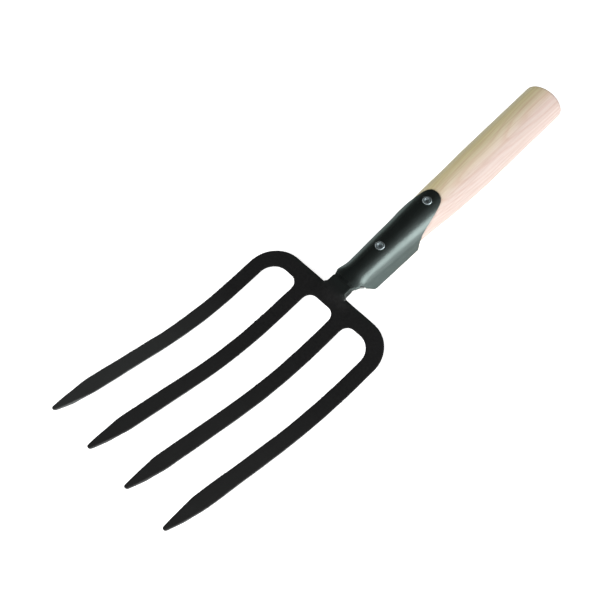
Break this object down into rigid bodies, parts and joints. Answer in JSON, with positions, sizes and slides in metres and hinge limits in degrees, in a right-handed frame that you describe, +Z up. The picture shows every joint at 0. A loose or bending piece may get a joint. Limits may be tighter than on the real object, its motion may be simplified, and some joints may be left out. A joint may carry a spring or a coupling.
{
  "type": "digging fork",
  "caption": "Short-shafted digging fork: flat-fronted bent tines on a forged head, an open pressed socket riveted to a round wooden handle.",
  "frame": {"origin": "centre of the fork's footprint on the floor, with the fork lying face up at rest", "axes": "+Z up; +Y along the floor from the tine tips towards the handle's end; +X across the tines. The handle climbs 11.7 degrees from the floor along +Y."},
  "size_m": [0.154, 0.5422, 0.0822],
  "materials": {
    "forged_steel": "satin near-black lacquer over a forged surface",
    "socket_steel": "glossy black lacquer on pressed sheet",
    "weld_bead": "rippled bead under the same black lacquer",
    "ash_wood": "sanded pale ash with fine long grain, clear coated",
    "zinc_rivet": "bright zinc plate",
    "zinc_washer": "dull zinc plate"
  },
  "bodies": {
    "root": {"fork_head": "forged_steel", "socket": "socket_steel", "neck_weld": "weld_bead", "handle": "ash_wood", "lower_rivet": "zinc_rivet", "upper_rivet": "zinc_rivet", "lower_rivet_washer": "zinc_washer", "upper_rivet_washer": "zinc_washer"}
  },
  "joints": []
}
